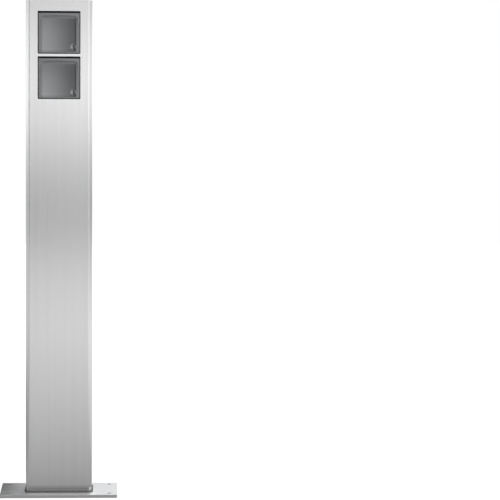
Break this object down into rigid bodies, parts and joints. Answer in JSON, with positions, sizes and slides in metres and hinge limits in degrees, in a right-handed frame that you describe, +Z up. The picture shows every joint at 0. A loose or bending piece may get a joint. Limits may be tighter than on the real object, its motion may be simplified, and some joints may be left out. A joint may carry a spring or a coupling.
{
  "type": "garden socket post",
  "caption": "Brushed steel garden post on a flat foot plate, with sprung dark lids over earthed power sockets near its top.",
  "frame": {"origin": "middle of the underside of the base plate", "axes": "+Z up along the post, the lids face -Y, +X to the right as seen from the front"},
  "size_m": [0.185, 0.12, 0.785],
  "materials": {
    "brushed_stainless": "brushed along the post",
    "ground_stainless_plate": "ground sheet",
    "weld_metal": "cleaned weld bead",
    "lid_plastic": "satin moulded",
    "socket_plastic": "fine moulded grain",
    "contact_base_plastic": "moulded",
    "shutter_plastic": "moulded",
    "seal_rubber": "matt",
    "bright_steel": "bright stainless",
    "black_spring_steel": "black oxide",
    "zinc_steel": "bright zinc plate",
    "contact_brass": "drawn",
    "nickel_clip": "nickel plate",
    "block_plastic": "moulded",
    "brown_wire": "insulation",
    "blue_wire": "insulation",
    "earth_wire": "insulation"
  },
  "bodies": {
    "post": {"post_tube": "brushed_stainless", "top_cap": "brushed_stainless", "service_cover": "brushed_stainless", "base_plate": "ground_stainless_plate", "foot_weld": "weld_metal", "device_frame": "socket_plastic", "upper_socket_well": "socket_plastic", "lower_socket_well": "socket_plastic", "upper_contact_base": "contact_base_plastic", "lower_contact_base": "contact_base_plastic", "front_gasket": "seal_rubber", "service_gasket": "seal_rubber", "cable_grommet": "seal_rubber", "service_screws": "bright_steel", "upper_centre_screw": "bright_steel", "lower_centre_screw": "bright_steel", "upper_hinge_pin": "black_spring_steel", "lower_hinge_pin": "black_spring_steel", "upper_lid_spring": "black_spring_steel", "lower_lid_spring": "black_spring_steel", "frame_studs": "zinc_steel", "frame_washers": "zinc_steel", "frame_nuts": "zinc_steel", "block_studs": "zinc_steel", "block_nuts": "zinc_steel", "rivet_nuts": "zinc_steel", "upper_support_ring": "zinc_steel", "lower_support_ring": "zinc_steel", "upper_ring_screws": "zinc_steel", "lower_ring_screws": "zinc_steel", "earth_stud": "zinc_steel", "earth_nut": "zinc_steel", "earth_washers": "zinc_steel", "upper_contacts": "contact_brass", "lower_contacts": "contact_brass", "upper_terminal_screws": "contact_brass", "lower_terminal_screws": "contact_brass", "block_screws": "contact_brass", "upper_earth_clip": "nickel_clip", "lower_earth_clip": "nickel_clip", "earth_lug": "nickel_clip", "terminal_block": "block_plastic", "live_wires": "brown_wire", "neutral_wires": "blue_wire", "earth_wires": "earth_wire", "bond_wire": "earth_wire"},
    "upper_lid": {"upper_lid": "lid_plastic", "upper_lid_seal": "seal_rubber"},
    "lower_lid": {"lower_lid": "lid_plastic", "lower_lid_seal": "seal_rubber"},
    "upper_shutter": {"upper_shutter": "shutter_plastic"},
    "lower_shutter": {"lower_shutter": "shutter_plastic"}
  },
  "joints": [
    {"name": "upper_lid_hinge", "type": "hinge", "parent": "post", "child": "upper_lid", "pos_m": [0, -0.0275, 0.7609], "axis": [-1, 0, 0], "range_deg": [0, 95], "stiffness_Nm_per_rad": 0.004, "springref_deg": -34.38},
    {"name": "lower_lid_hinge", "type": "hinge", "parent": "post", "child": "lower_lid", "pos_m": [0, -0.0275, 0.6899], "axis": [-1, 0, 0], "range_deg": [0, 95], "stiffness_Nm_per_rad": 0.004, "springref_deg": -34.38},
    {"name": "upper_shutter_turn", "type": "hinge", "parent": "post", "child": "upper_shutter", "pos_m": [0, 0, 0.7328], "axis": [0, 1, 0], "range_deg": [0, 36], "stiffness_Nm_per_rad": 0.0005, "springref_deg": -17.19},
    {"name": "lower_shutter_turn", "type": "hinge", "parent": "post", "child": "lower_shutter", "pos_m": [0, 0, 0.6618], "axis": [0, 1, 0], "range_deg": [0, 36], "stiffness_Nm_per_rad": 0.0005, "springref_deg": -17.19}
  ]
}
